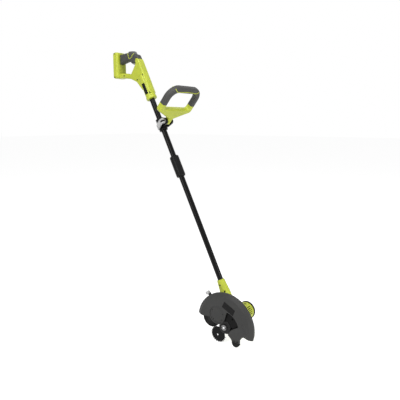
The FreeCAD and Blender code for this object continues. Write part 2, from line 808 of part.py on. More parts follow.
def clamp():
    """The clamp that rides on the tube, the loop's pivot bolt and the cam lever that locks both."""
    body = new_body("clamp_body", "tube", z=CLAMP_UP)
    around = new_sketch(body, "XY_Plane")
    circle(around, "0", "0", "clamp_radius")
    pad(body, around, "clamp_length", both=True)
    ears = new_sketch(body)
    outline(ears, [
        ("0", "-clamp_length / 2 + 10", 0),
        ("clamp_radius", "-clamp_length / 2 + 10", 6),
        ("clamp_reach + ear_radius", "-ear_radius", "ear_radius - 1"),
        ("clamp_reach + ear_radius", "ear_radius", "ear_radius - 1"),
        ("clamp_radius", "ear_radius", 6),
        ("0", "clamp_length / 2 - 6", 0),
    ])
    pad(body, ears, "tongue_width + 2 * ear_thick", both=True)
    gap = new_sketch(body)
    rectangle(gap, "clamp_reach - ear_radius - 2.5", "-clamp_length", "2 * clamp_reach", "clamp_length")
    pocket(body, gap, "tongue_width + 2 * seat_gap", both=True)
    slit = new_sketch(body)
    rectangle(slit, "0", "-clamp_length", "clamp_reach", "clamp_length")
    pocket(body, slit, "slit_width", both=True)
    bore = new_sketch(body, "XY_Plane")
    circle(bore, "0", "0", "tube_radius + fit")
    pocket(body, bore, "2 * clamp_length", both=True)
    hole = new_sketch(body)
    circle(hole, "clamp_reach", "0", "bolt_radius + fit")
    pocket(body, hole, "4 * tongue_width", both=True)
    side = "(tongue_width / 2 + ear_thick)"
    cam = f"({side} + cam_washer + cam_reach)"
    bolt = turned("pivot_bolt", "tube", [
        ("0", f"-{side} - bolt_head_thick", 0),
        ("bolt_head", f"-{side} - bolt_head_thick", 2),
        ("bolt_head", f"-{side}", 0),
        ("bolt_radius", f"-{side}", 0),
        ("bolt_radius", f"{cam} + cam_pin_radius + 2", 0),
        ("0", f"{cam} + cam_pin_radius + 2", 0),
    ], x="clamp_reach", z=CLAMP_UP)
    cross = new_sketch(bolt, "XY_Plane")
    circle(cross, "0", f"-{cam}", "cam_pin_radius - 0.8 + fit")
    pocket(bolt, cross, "6 * bolt_radius", both=True)
    ring("cam_washer", "tube", "bolt_head + 2", "bolt_radius + fit", side, f"{side} + cam_washer",
         x="clamp_reach", z=CLAMP_UP)
    lever = new_body("cam_lever", "tube", "clamp_reach", 0, CLAMP_UP)
    cam_disc = new_sketch(lever, "XY_Plane")
    circle(cam_disc, "0", f"-{cam}", "cam_reach")
    pad(lever, cam_disc, "cam_lever_height", both=True)
    paddle = new_sketch(lever, "XY_Plane")
    outline(paddle, [
        ("0", f"-{cam} - cam_reach", 0),
        ("0", f"-{cam} - cam_reach + cam_lever_thick", 0),
        ("-cam_lever_length + 8", f"-{cam} - cam_reach + cam_lever_thick + 4", 20),
        ("-cam_lever_length", f"-{cam} + 6", 2),
        ("-cam_lever_length", f"-{cam} + 1", 2),
        ("-cam_lever_length + 16", f"-{cam} - cam_reach", 20),
    ])
    pad(lever, paddle, "cam_lever_height + 2 * cam_droop", both=True)
    for side in (1, -1):
        edge = f"{side} * cam_lever_height / 2"
        beyond = f"{side} * (cam_lever_height / 2 + cam_droop + 5)"
        slope = new_sketch(lever)
        outline(slope, [
            ("cam_reach", edge, 0),
            ("-cam_reach - 1", edge, 0),
            ("-cam_lever_length - 1", f"{edge} - cam_droop", 0),
            ("-cam_lever_length - 1", beyond, 0),
            ("cam_reach", beyond, 0),
        ])
        pocket(lever, slope, "4 * (clamp_reach + cam_lever_length)", both=True)
    fork = new_sketch(lever, "XY_Plane")
    rectangle(fork, "-cam_reach - 2", f"-{cam} - cam_reach - 1", "cam_reach + 1", f"-{cam} + cam_reach + 1")
    pocket(lever, fork, "2 * bolt_radius + 4 * seat_gap", both=True)
    pin_hole = new_sketch(lever, "XY_Plane")
    circle(pin_hole, "0", f"-{cam}", "cam_pin_radius - 0.8 + fit")
    pocket(lever, pin_hole, "2 * cam_lever_height", both=True)
    ring("cam_pin", "tube", "cam_pin_radius - 0.8", "0", "-cam_lever_height / 2", "cam_lever_height / 2",
         "Z", x="clamp_reach", y=f"-{cam}", z=CLAMP_UP)


# ---- cutting head ------------------------------------------------------------------------------

HEAD_SCREWS = [("18.2", "neck_waist + 10"), ("-18.2", "neck_waist + 10"),
               ("16", f"{GEAR_UP} - head_boss_reach"), ("80", f"{GEAR_UP} - head_boss_reach"),
               ("80", f"{GEAR_UP} + head_boss_reach")]
CASE_SCREW_ANGLES = (-35, 55, 145)
CASE_SCREW_REACH = "(case_flange - screw_head - 1.5)"


def head_housing():
    """The housing round the motor, parted down the tube's line into a front and a rear half."""
    body = new_body("head_shell", "tube", kept=False)
    neck = new_sketch(body)
    outline(neck, [
        ("0", f"{GEAR_UP}", 0), ("neck_flare", f"{GEAR_UP}", 0), ("neck_flare", "neck_waist", 12),
        ("neck_radius", "neck_top", 2), ("0", "neck_top", 0),
    ])
    turn = body.newObject("PartDesign::Revolution", "neck_turn")
    turn.Profile = neck
    turn.ReferenceAxis = (neck, ["V_Axis"])
    turn.Angle = 360
    barrel = new_sketch(body, out="housing_front")
    circle(barrel, "0", GEAR_UP, "housing_radius")
    pad(body, barrel, "housing_front + housing_back", back=True)
    post = new_sketch(body)
    circle(post, "-post_back", "post_up", "post_radius + 2")
    pad(body, post, "arm_place - seat_gap")
    stub = new_sketch(body)
    circle(stub, "-post_back", "post_up", "post_radius")
    pad(body, stub, "arm_place + arm_thick + seat_gap")
    hollow = new_sketch(body, out="housing_front")
    circle(hollow, "0", GEAR_UP, "housing_radius - housing_wall")
    pocket(body, hollow, "housing_front + housing_back")
    bosses = new_sketch(body, "YZ_Plane")
    for y, z in HEAD_SCREWS[2:]:
        circle(bosses, y, z, "head_boss_radius")
    pad(body, bosses, "head_boss_length", both=True)
    for radius, depth in (("tube_radius + fit", "socket_depth"),
                          ("lead_radius + 2.5", f"neck_top - {GEAR_UP} - motor_radius / 2")):
        bore = new_sketch(body, "XY_Plane", "neck_top")
        circle(bore, "0", "0", radius)
        pocket(body, bore, depth)
    for radius, floor in (("screw_radius + fit", "0"), ("screw_head + fit", "neck_radius")):
        neck_screw = new_sketch(body, out="neck_flare")
        circle(neck_screw, "0", "neck_screw_up", radius)
        pocket(body, neck_screw, f"neck_flare - {floor}")
    for radius, floor in (("screw_radius + fit", "head_screw_out - screw_length - 1"),
                          ("screw_head + fit", "head_screw_out - screw_head_thick")):
        holes = new_sketch(body, "YZ_Plane", "housing_radius")
        for y, z in HEAD_SCREWS:
            circle(holes, y, z, radius)
        pocket(body, holes, f"housing_radius - ({floor})")
    vents = new_sketch(body, "YZ_Plane")
    for step in range(-2, 3):
        middle = f"{GEAR_UP} + {step} * vent_pitch"
        rectangle(vents, "fan_place + fan_width + 4", f"{middle} - vent_width / 2",
                  "housing_back - 10", f"{middle} + vent_width / 2", "vent_width / 2 - 0.2")
    pocket(body, vents, "3 * housing_radius", both=True)
    pilot = new_sketch(body, out="arm_place + arm_thick + seat_gap")
    circle(pilot, "-post_back", "post_up", "screw_radius + fit")
    pocket(body, pilot, "screw_length + 1")
    combined("Common", "head_front_half", body, half_space("front_side", "tube", side_x=1))
    combined("Common", "head_rear_half", body, half_space("rear_side", "tube", side_x=-1))
    screw_set("head_screws", "tube", [("head_screw_out", y, z) for y, z in HEAD_SCREWS],
              turn=(FreeCAD.Vector(0, 1, 0), 90))
    screw_set("neck_screw", "tube", [("0", "-neck_radius - screw_head_thick", "neck_screw_up")],
              "neck_radius + screw_head_thick - lead_radius - 2")


def motor():
    """Motor can, rotor shaft, cooling fan and the end cap."""
    bore = "shaft_radius + fit"
    ring("motor_can", "tube", "motor_radius", bore, "motor_front - motor_length", "motor_front",
         z=GEAR_UP)
    ring("rotor_shaft", "tube", "shaft_radius", "0", "-fan_place - fan_width",
         "gear_place + gear_width", z=GEAR_UP)
    fan = ring("cooling_fan", "tube", "fan_radius", bore, "-fan_place - fan_width",
               "-fan_place - fan_width + 2", z=GEAR_UP)
    hub = new_sketch(fan, out="-fan_place - fan_width")
    circle(hub, "0", "0", "2.4 * shaft_radius")
    circle(hub, "0", "0", bore)
    pad(fan, hub, "fan_width")
    vane = new_sketch(fan, out="-fan_place - fan_width")
    rectangle(vane, "2.2 * shaft_radius", "-0.8", "fan_radius - 1", "0.8")
    around(fan, pad(fan, vane, "fan_width"), vane, "fan_vanes")
    inner = "(housing_radius - housing_wall - fit)"
    turned("motor_cap", "tube", [
        (f"{inner} - housing_wall", "-housing_back + 6", 0),
        (inner, "-housing_back + 6", 0),
        (inner, "-housing_back", 0),
        ("housing_radius + cap_lip", "-housing_back", 1),
        ("housing_radius + cap_lip", "-housing_back - cap_length + cap_slope", 1),
        ("housing_radius - cap_slope", "-housing_back - cap_length", 2),
        ("0", "-housing_back - cap_length", 0),
        ("0", "-housing_back - cap_length + housing_wall", 0),
        (f"{inner} - cap_slope", "-housing_back - cap_length + housing_wall", 0),
        (f"{inner} - housing_wall", "-housing_back", 0),
    ], z=GEAR_UP)


def around(body, feature, sketch, count, sweep="360"):
    """Repeats a feature about its sketch's own origin."""
    doc.recompute()
    pattern = body.newObject("PartDesign::PolarPattern", body.Name + "_repeat")
    pattern.Originals = [feature]
    pattern.Axis = (sketch, ["N_Axis"])
    bind(pattern, "Angle", sweep)
    bind(pattern, "Occurrences", count)
    body.Tip = pattern
    doc.recompute()
    return pattern


def toothed_wheel(label, x, z, teeth, bore, turn):
    """A spur gear with straight flanks, its first tooth turned from level by an angle."""
    body = new_body(label, "tube", x=x, z=z)
    pitch = f"(gear_module * {teeth} / 2)"
    root = f"({pitch} - 1.25 * gear_module)"
    blank = new_sketch(body, out="gear_place")
    circle(blank, "0", "0", root)
    circle(blank, "0", "0", bore)
    pad(body, blank, "gear_width")
    half = "(0.785 * gear_module - tooth_relief)"
    flank = "(0.36 * gear_module)"
    tooth = new_sketch(body, out="gear_place")
    sketch_turn(tooth, turn)
    outline(tooth, [
        (f"{root} - gear_module / 2", f"-{half} - {flank} / 2", 0),
        (pitch, f"-{half}", 0),
        (f"{pitch} + gear_module", f"-{half} + {flank}", 0),
        (f"{pitch} + gear_module", f"{half} - {flank}", 0),
        (pitch, half, 0),
        (f"{root} - gear_module / 2", f"{half} + {flank} / 2", 0),
    ])
    around(body, pad(body, tooth, "gear_width"), tooth, teeth)
    return body


def sketch_turn(sketch, angle):
    """Turns a sketch in its own plane."""
    held = sketch.AttachmentOffset
    sketch.AttachmentOffset = FreeCAD.Placement(held.Base, FreeCAD.Rotation(FreeCAD.Vector(0, 0, 1), 1))
    bind(sketch, "AttachmentOffset.Rotation.Angle", angle)


def gearing():
    """Gear plate, gears, spindle, bearings and gear case."""
    inner = "(housing_radius - housing_wall - fit)"
    spots = [(f"{CASE_SCREW_REACH} * cos({a})", f"{GEAR_UP} + {CASE_SCREW_REACH} * sin({a})")
             for a in CASE_SCREW_ANGLES]
    plate = new_body("gear_plate", "tube")
    face = new_sketch(plate, out="plate_place")
    circle(face, "0", GEAR_UP, inner)
    circle(face, "0", GEAR_UP, "shaft_radius + 1")
    circle(face, "-axle_setback", "0", "bearing_radius + fit")
    for x, z in spots:
        circle(face, x, z, "screw_radius + fit")
    pad(plate, face, "housing_front - plate_place")
    for label, place_out in (("rear_bearing", "plate_place"), ("front_bearing", "front_bearing_place")):
        ring(label, "tube", "bearing_radius", "spindle_radius + fit", place_out,
             f"{place_out} + bearing_width", x="-axle_setback")
    line = f"atan(axle_setback / {GEAR_UP})"
    toothed_wheel("pinion", "0", GEAR_UP, "pinion_teeth", "shaft_radius + fit", f"270 deg - {line}")
    toothed_wheel("spindle_gear", "-axle_setback", "0", "wheel_teeth", "spindle_radius + fit",
                  f"90 deg - {line} + 180 deg / wheel_teeth")
    turned("spindle", "tube", [
        ("0", "plate_place", 0),
        ("spindle_radius", "plate_place", 0),
        ("spindle_radius", "plate_place + bearing_width + seat_gap", 0),
        ("collar_radius", "plate_place + bearing_width + seat_gap", 0),
        ("collar_radius", "gear_place", 0),
        ("spindle_radius", "gear_place", 0),
        ("spindle_radius", "gear_place + gear_width", 0),
        ("collar_radius", "gear_place + gear_width", 0),
        ("collar_radius", "front_bearing_place - seat_gap", 0),
        ("spindle_radius", "front_bearing_place - seat_gap", 0),
        ("spindle_radius", "blade_place + blade_thick + washer_thick + nut_height + 1", 1),
        ("0", "blade_place + blade_thick + washer_thick + nut_height + 1", 0),
    ], x="-axle_setback")
    case = new_body("gear_case", "tube")
    flange = new_sketch(case, out="housing_front")
    circle(flange, "0", GEAR_UP, "case_flange")
    pad(case, flange, "flange_rim")
    bell = new_sketch(case, out="housing_front")
    circle(bell, "-case_shift", "case_drop", "case_radius")
    pad(case, bell, "case_front - housing_front")
    cavity = new_sketch(case, out="front_bearing_place")
    circle(cavity, "-case_shift", "case_drop", "case_radius - case_wall")
    pocket(case, cavity, "front_bearing_place")
    for radius, out in (("bearing_radius + fit", "front_bearing_place + bearing_width"),
                        ("bearing_radius - 1.5", "case_front")):
        bore = new_sketch(case, out=out)
        circle(bore, "-axle_setback", "0", radius)
        pocket(case, bore, f"{out} - front_bearing_place + 1")
    holes = new_sketch(case, out="housing_front + flange_rim")
    for x, z in spots:
        circle(holes, x, z, "screw_radius + fit")
    circle(holes, "-post_back", "post_up", "post_radius + 2 + seat_gap")
    pocket(case, holes, "flange_rim")
    plate_holes = new_sketch(case, out="case_front")
    for x, z in PLATE_SCREWS:
        circle(plate_holes, f"-axle_setback + {x}", z, "screw_radius + fit")
    pocket(case, plate_holes, "guard_screw_length - back_thick + 1 - screw_head_thick")
    heads = [(x, "-housing_front - flange_rim - screw_head_thick", z) for x, z in spots]
    screw_set("case_screws", "tube", heads, "guard_screw_length")


# ---- guard, blade and skid ---------------------------------------------------------------------

PLATE_SCREWS = [(f"25 * cos({a})", f"25 * sin({a})") for a in (-2, 58, 118)]
RIM = "(guard_radius - guard_boss_inset)"
RIM_SCREWS = [(f"{RIM} * cos({a})", f"{RIM} * sin({a})") for a in (4, 45, 90, 135, 158)]
FACE_EDGE = [
    (-200, 52, 0), (-126, 31, 4), (-114, 28, 4), (-84, 32, 0), (4.4, 43.7, 4), (14.5, 74.6, 3),
    (60.2, 65.7, 72), (73.1, 20.9, 4), (36, -2, 8), (20, -26, 6), (39, -43, 8), (42, -52, 0),
    (82, -52, 0), (83, -34, 6), (92, -21, 4), (99, -16, 4), (117, -21, 4), (133, -24, 4),
    (200, -24, 0), (200, -200, 0), (-200, -200, 0),
]
BACK_EDGE = [
    (-200, 56, 0), (-128, 36, 0), (-40, 15, 10), (36, -22, 10), (139, -12, 0), (200, -6, 0),
    (200, -200, 0), (-200, -200, 0),
]
LABEL_EDGE = [(1, 121, 2), (56, 93, 2), (46, 66, 2), (-10, 94, 2)]
LEAF_EDGE = [(86, 46, 3), (104, 36, 10), (119, 4, 3), (103, 8, 6), (90, 24, 10)]
RECESS_HOLES = (16, -45, -128, -210)


def from_axle(corners):
    """Corners given from the axle, as places in the guard's own frame."""
    return [(str(x), f"{z} - guard_rise", rounding) for x, z, rounding in corners]


def guard():
    """Outer face with its skirt, and the plate that closes it towards the motor."""
    inside = "(guard_radius - guard_wall)"
    step = "guard_bevel_depth"
    face = turned("guard_face", "axle", [
        ("0", "guard_face", 0),
        ("guard_radius - guard_bevel", "guard_face", 3),
        ("guard_radius", f"guard_face - {step}", 3),
        ("guard_radius", "case_front + back_thick", 0),
        (inside, "case_front + back_thick", 0),
        (inside, f"guard_face - {step} - guard_wall / 2", 1),
        (f"{inside} - guard_bevel + 2", "guard_face - guard_wall", 2),
        ("0", "guard_face - guard_wall", 0),
    ], z="guard_rise")
    lower = new_sketch(face, out="guard_face + 1")
    outline(lower, from_axle(FACE_EDGE))
    pocket(face, lower, "guard_face")
    bosses = new_sketch(face, out="case_front + back_thick")
    for x, z in RIM_SCREWS:
        circle(bosses, x, z, "guard_boss_radius")
    pad(face, bosses, "guard_face - guard_bevel_depth - case_front - back_thick + 1")
    dish = new_sketch(face, out="guard_face - recess_depth - guard_wall")
    circle(dish, "-recess_back", "recess_up - guard_rise", "recess_radius")
    pad(face, dish, "recess_depth + guard_wall")
    recess = new_sketch(face, out="guard_face")
    circle(recess, "-recess_back", "recess_up - guard_rise", "recess_radius - 3.5")
    pocket(face, recess, "recess_depth")
    holes = new_sketch(face, out="guard_face")
    for angle in RECESS_HOLES:
        hole_x, hole_z = f"recess_hole_reach * cos({angle})", f"recess_hole_reach * sin({angle})"
        circle(holes, f"-recess_back + {hole_x}", f"recess_up - guard_rise + {hole_z}", "recess_hole")
    pocket(face, holes, "recess_depth + guard_wall + 1")
    pilots = new_sketch(face, out="guard_face - guard_bevel_depth")
    for x, z in RIM_SCREWS:
        circle(pilots, x, z, "screw_radius + fit")
    pocket(face, pilots, "guard_bevel_depth + 1")
    skid_holes = new_sketch(face, out="guard_face")
    for x, z in SKID_SCREWS:
        circle(skid_holes, x, f"{z} + skid_lift - guard_rise", "screw_radius + fit")
    pocket(face, skid_holes, "guard_wall")
    leaf = new_sketch(face, out="guard_face")
    outline(leaf, from_axle(LEAF_EDGE))
    pocket(face, leaf, "leaf_sink")
    seat = new_sketch(face, out="guard_face")
    outline(seat, from_axle(LABEL_EDGE))
    pocket(face, seat, "label_sink")
    label = new_body("guard_label", "axle", z="guard_rise")
    shape = new_sketch(label, out="guard_face - label_sink")
    outline(shape, from_axle(LABEL_EDGE))
    pad(label, shape, "label_thick")
    back = new_body("guard_back", "axle", z="guard_rise")
    disc = new_sketch(back, out="case_front")
    circle(disc, "0", "0", "guard_radius")
    pad(back, disc, "back_thick")
    edge = new_sketch(back, out="case_front + back_thick")
    outline(edge, from_axle(BACK_EDGE))
    pocket(back, edge, "back_thick")
    hub = new_sketch(back, out="case_front")
    circle(hub, "0", "-guard_rise", "back_hub")
    pad(back, hub, "back_thick")
    openings = new_sketch(back, out="case_front + back_thick")
    circle(openings, "0", "-guard_rise", "collar_radius + 5")
    for x, z in RIM_SCREWS:
        circle(openings, x, z, "screw_radius + fit")
    for x, z in PLATE_SCREWS:
        turned_x = f"({x}) * cos(lean) - ({z}) * sin(lean)"
        turned_z = f"({x}) * sin(lean) + ({z}) * cos(lean)"
        circle(openings, turned_x, f"{turned_z} - guard_rise", "screw_radius + fit")
    pocket(back, openings, "back_thick")
    rim_heads = [(x, "-case_front + screw_head_thick", f"{z} + guard_rise") for x, z in RIM_SCREWS]
    screw_set("guard_screws", "axle", rim_heads, "guard_screw_length", (FreeCAD.Vector(1, 0, 0), -90))
    plate_heads = [(f"-axle_setback + {x}", "-case_front - back_thick - screw_head_thick", z)
                   for x, z in PLATE_SCREWS]
    screw_set("plate_screws", "tube", plate_heads, "guard_screw_length")


SKID_SCREWS = [("54", "-54"), ("70", "-54")]


def skid():
    """The shoe under the guard's stem."""
    low = "(guard_face - guard_wall - skid_tongue)"
    body = new_body("skid_foot", "axle", z="skid_lift")
    shoe = new_sketch(body, out=low)
    outline(shoe, [
        ("41", "-60", 2), ("46", "-axle_height + 8", 8), ("55", "-axle_height", 14),
        ("66", "-axle_height", 14), ("77", "-axle_height + 8", 8), ("84", "-60", 2),
    ])
    pad(body, shoe, "skid_tongue + guard_wall + skid_proud")
    tongue = new_sketch(body, out=low)
    rectangle(tongue, "47", "-62", "77", "-48", "1")
    pad(body, tongue, "skid_tongue")
    holes = new_sketch(body, out="guard_face")
    for x, z in SKID_SCREWS:
        circle(holes, x, z, "screw_radius + fit")
    pocket(body, holes, "guard_wall + skid_tongue")
    heads = [(x, "-guard_face - screw_head_thick", f"{z} + skid_lift") for x, z in SKID_SCREWS]
    screw_set("skid_screws", "axle", heads,
              "screw_head_thick + guard_wall + skid_tongue - 0.5")


def blade():
    """The two-lobed toothed blade with its flange, washer and slotted nut."""
    body = new_body("blade", "axle")
    waist = new_sketch(body, out="blade_place")
    sketch_turn(waist, "lobe_turn")
    outline(waist, [
        ("45", "19.5", 0), ("0", "blade_waist / 2", 20), ("-45", "19.5", 0),
        ("-45", "-19.5", 0), ("0", "-blade_waist / 2", 20), ("45", "-19.5", 0),
    ])
    pad(body, waist, "blade_thick")
    lobes = new_sketch(body, out="blade_place")
    sketch_turn(lobes, "lobe_turn")
    circle(lobes, "lobe_reach", "0", "lobe_radius - tooth_depth")
    circle(lobes, "-lobe_reach", "0", "lobe_radius - tooth_depth")
    pad(body, lobes, "blade_thick")
    for side in (1, -1):
        tooth = new_sketch(body, out="blade_place")
        sketch_turn(tooth, f"lobe_turn - lobe_sweep / 2 + {90 - 90 * side}")
        bind(tooth, "AttachmentOffset.Base.x", f"{side} * lobe_reach * cos(lobe_turn)")
        bind(tooth, "AttachmentOffset.Base.y", f"{side} * lobe_reach * sin(lobe_turn)")
        outline(tooth, [
            ("lobe_radius - 1.5 * tooth_depth", "-tooth_width / 2", 0),
            ("lobe_radius", "0", 0),
            ("lobe_radius - 1.5 * tooth_depth", "tooth_width / 2", 0),
        ])
        around(body, pad(body, tooth, "blade_thick"), tooth, "tooth_count", "lobe_sweep")
    holes = new_sketch(body, out="blade_place + blade_thick")
    sketch_turn(holes, "lobe_turn")
    circle(holes, "0", "0", "spindle_radius + fit")
    circle(holes, "lobe_reach + 6", "0", "blade_hole")
    circle(holes, "-lobe_reach - 6", "0", "blade_hole")
    pocket(body, holes, "blade_thick")
    bore = "spindle_radius + fit"
    turned("blade_flange", "axle", [
        (bore, "front_bearing_place + bearing_width + seat_gap", 0),
        ("spindle_radius + 3", "front_bearing_place + bearing_width + seat_gap", 0),
        ("spindle_radius + 3", "blade_place - flange_thick", 0),
        ("flange_radius", "blade_place - flange_thick", 1),
        ("flange_radius", "blade_place", 0),
        (bore, "blade_place", 0),
    ])
    front = "(blade_place + blade_thick)"
    turned("blade_washer", "axle", [
        (bore, front, 0), ("washer_radius", front, 0), ("washer_radius", f"{front} + washer_thick / 2", 0),
        ("washer_radius - 3", f"{front} + washer_thick", 0), (bore, f"{front} + washer_thick", 0),
    ])
    seat = f"({front} + washer_thick)"
    nut = turned("blade_nut", "axle", [
        (bore, seat, 0), ("nut_radius", seat, 0), ("nut_radius", f"{seat} + nut_height", 1.5),
        (bore, f"{seat} + nut_height", 0),
    ])
    slots = new_sketch(nut, out=f"{seat} + nut_height")
    rectangle(slots, "-2 * nut_radius", "-nut_slot / 2", "2 * nut_radius", "nut_slot / 2")
    pocket(nut, slots, "nut_height / 2")


# ---- wheel and its depth lever -----------------------------------------------------------------

KNOB_X = "(guard_rise * sin(lean) - axle_setback + (guard_radius + knob_out) * cos(knob_angle))"
KNOB_UP = "(guard_rise * cos(lean) + (guard_radius + knob_out) * sin(knob_angle))"


def strap(body, out, thick, start, end):
    """A flat bar between two round ends, each given as (x, z, radius)."""
    (x0, z0, r0), (x1, z1, r1) = start, end
    run = f"sqrt(({x1} - {x0})^2 + ({z1} - {z0})^2)"
    across = f"({z1} - {z0}) / {run}"
    along = f"({x1} - {x0}) / {run}"
    for x, z, radius in (start, end):
        rounded = new_sketch(body, out=out)
        circle(rounded, x, z, radius)
        pad(body, rounded, thick)
        if (x, z, radius) == start:
            bar = new_sketch(body, out=out)
            outline(bar, [
                (f"{x0} + {r0} * {across}", f"{z0} - {r0} * {along}", 0),
                (f"{x1} + {r1} * {across}", f"{z1} - {r1} * {along}", 0),
                (f"{x1} - {r1} * {across}", f"{z1} + {r1} * {along}", 0),
                (f"{x0} - {r0} * {across}", f"{z0} + {r0} * {along}", 0),
            ])
            pad(body, bar, thick)


def depth_wheel():
    """The wheel arm that swings about the housing's post, its knob, wheel and axle."""
    arm = new_body("wheel_arm", "tube", x="-post_back", z="post_up")
    knob_x, knob_up = f"({KNOB_X} + post_back)", f"({KNOB_UP} - post_up)"
    strap(arm, "arm_place", "arm_thick", ("0", "0", "arm_ring"), ("-wheel_back", "-wheel_drop", "12"))
    strap(arm, "arm_place", "arm_thick", ("0", "0", "10"), (knob_x, knob_up, "knob_radius"))
    holes = new_sketch(arm, out="arm_place + arm_thick")
    circle(holes, "0", "0", "post_radius + seat_gap")
    circle(holes, "-wheel_back", "-wheel_drop", "wheel_bore + fit")
    circle(holes, knob_x, knob_up, "screw_radius + fit")
    pocket(arm, holes, "arm_thick")
    outer = "(arm_place + arm_thick)"
    turned("depth_knob", "tube", [
        ("0", "arm_place", 0), ("screw_radius", "arm_place", 0), ("screw_radius", outer, 0),
        ("knob_radius", outer, 0), ("knob_radius", f"{outer} + knob_height", 3),
        ("0", f"{outer} + knob_height", 0),
    ], x=KNOB_X, z=KNOB_UP)
    turned("arm_bolt", "tube", [
        ("0", f"{outer} + seat_gap - screw_length", 0),
        ("screw_radius", f"{outer} + seat_gap - screw_length", 0),
        ("screw_radius", f"{outer} + seat_gap", 0),
        ("post_radius + 3", f"{outer} + seat_gap", 0),
        ("post_radius + 3", f"{outer} + seat_gap + 1.4", 0.5),
        ("0", f"{outer} + seat_gap + 1.4", 0),
    ], x="-post_back", z="post_up")
    spot = {"x": "-post_back - wheel_back", "z": "post_up - wheel_drop"}
    inner = "(arm_place - 1.5 - wheel_width)"
    turned("wheel", "tube", [
        ("wheel_bore + fit", inner, 0),
        ("wheel_radius - 14", inner, 0),
        ("wheel_radius - 12", f"{inner} + 3", 2),
        ("wheel_radius - 7", f"{inner} + 3", 2),
        ("wheel_radius - 5", inner, 2),
        ("wheel_radius", f"{inner} + 3", 4),
        ("wheel_radius", f"{inner} + wheel_width - 3", 4),
        ("wheel_radius - 5", f"{inner} + wheel_width", 2),
        ("wheel_radius - 7", f"{inner} + wheel_width - 3", 2),
        ("wheel_radius - 12", f"{inner} + wheel_width - 3", 2),
        ("wheel_radius - 14", f"{inner} + wheel_width", 0),
        ("wheel_bore + 5", f"{inner} + wheel_width", 0),
        ("wheel_bore + 5", "arm_place - seat_gap", 0),
        ("wheel_bore + fit", "arm_place - seat_gap", 0),
    ], **spot)
    turned("wheel_axle", "tube", [
        ("0", f"{inner} - seat_gap - 1.8", 0),
        ("wheel_axle_head", f"{inner} - seat_gap - 1.8", 0.5),
        ("wheel_axle_head", f"{inner} - seat_gap", 0),
        ("wheel_bore", f"{inner} - seat_gap", 0),
        ("wheel_bore", outer, 0),
        ("wheel_axle_head", outer, 0),
        ("wheel_axle_head", f"{outer} + 1.6", 0.5),
        ("0", f"{outer} + 1.6", 0),
    ], **spot)


rear_handle()
controls()
tube()
loop_handle()
clamp()
head_housing()
motor()
gearing()
guard()
skid()
blade()
depth_wheel()
doc.recompute()

for item in doc.Objects:
    if "Invalid" in item.State or "Error" in item.State:
        raise RuntimeError(f"{item.Name} does not compute: {item.State}")
for item in subparts:
    if item.Shape.isNull() or not item.Shape.isValid():
        raise RuntimeError(f"{item.Label} has no sound shape")
os.makedirs("parts", exist_ok=True)
for item in subparts:
    item.Shape.exportStep(f"parts/{item.Label}.step")
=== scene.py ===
# %% [markdown]
# A battery lawn edger, dressed for a plain studio picture. Each of them keeps its shape and its
# place, and this lesson gives it a finish and adds the small soft details that a CAD solid lacks.

# %% Load the frame
import json
import math
import bpy
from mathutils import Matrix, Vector
from mathutils.bvhtree import BVHTree


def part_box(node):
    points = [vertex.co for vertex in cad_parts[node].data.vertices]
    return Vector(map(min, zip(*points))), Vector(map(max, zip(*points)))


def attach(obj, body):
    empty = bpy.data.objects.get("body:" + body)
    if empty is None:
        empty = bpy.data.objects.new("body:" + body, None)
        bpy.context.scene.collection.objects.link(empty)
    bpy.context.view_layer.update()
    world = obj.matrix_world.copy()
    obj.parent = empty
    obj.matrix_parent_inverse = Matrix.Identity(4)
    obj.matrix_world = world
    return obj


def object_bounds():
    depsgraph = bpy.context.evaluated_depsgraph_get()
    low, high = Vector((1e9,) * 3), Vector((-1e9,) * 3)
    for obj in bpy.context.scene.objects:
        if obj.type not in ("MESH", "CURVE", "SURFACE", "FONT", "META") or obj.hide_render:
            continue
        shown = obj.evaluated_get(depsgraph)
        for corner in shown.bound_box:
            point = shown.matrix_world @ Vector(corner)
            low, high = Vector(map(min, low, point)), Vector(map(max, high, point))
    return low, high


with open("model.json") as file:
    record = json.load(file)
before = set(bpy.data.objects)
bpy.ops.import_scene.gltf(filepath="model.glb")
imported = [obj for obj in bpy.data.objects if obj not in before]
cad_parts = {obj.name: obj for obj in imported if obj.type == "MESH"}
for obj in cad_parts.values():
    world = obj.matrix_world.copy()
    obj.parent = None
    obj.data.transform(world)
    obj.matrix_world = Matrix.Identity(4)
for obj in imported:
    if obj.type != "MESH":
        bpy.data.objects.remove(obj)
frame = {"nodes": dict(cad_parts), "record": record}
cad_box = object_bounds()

nodes, record = frame["nodes"], frame["record"]
print("CAD box, metres:", [[round(v, 3) for v in corner] for corner in cad_box])

# %% [markdown]
# The picture is taken from a little above the middle of the tool, well round to its front, so that
# the guard's face and the motor behind it both show. A camera in Blender looks along its own -Z axis.
# Writing its turn from an azimuth and an elevation keeps the two numbers that say where the viewer
# stands, and the lens is the focal length on a 36 mm wide sensor.

# %% Camera
AZIMUTH, ELEVATION = math.radians(36.5), math.radians(9.7)
back = Vector((math.sin(AZIMUTH) * math.cos(ELEVATION),
               -math.cos(AZIMUTH) * math.cos(ELEVATION),
               math.sin(ELEVATION)))
lens = bpy.data.cameras.new("studio_camera")
lens.sensor_width, lens.lens, lens.clip_end = 36, 40.41, 60
camera = bpy.data.objects.new("studio_camera", lens)
bpy.context.scene.collection.objects.link(camera)
camera.rotation_euler = back.to_track_quat("Z", "Y").to_euler()
camera.location = (1.008, -1.624, 0.958)
bpy.context.scene.camera = camera
print("camera stands", round(camera.location.length, 2), "m from the blade")

# %% [markdown]
# A shader is a graph of nodes, and long graphs are hard to read. A small class can stand for one
# output of a node and understand plus, minus and times, so that `1 - mask` adds the right Math node.
# A second class makes one finish: its `node` method adds any node from its type, its settings and its
# inputs, and `coat` writes constants straight on the main shader.

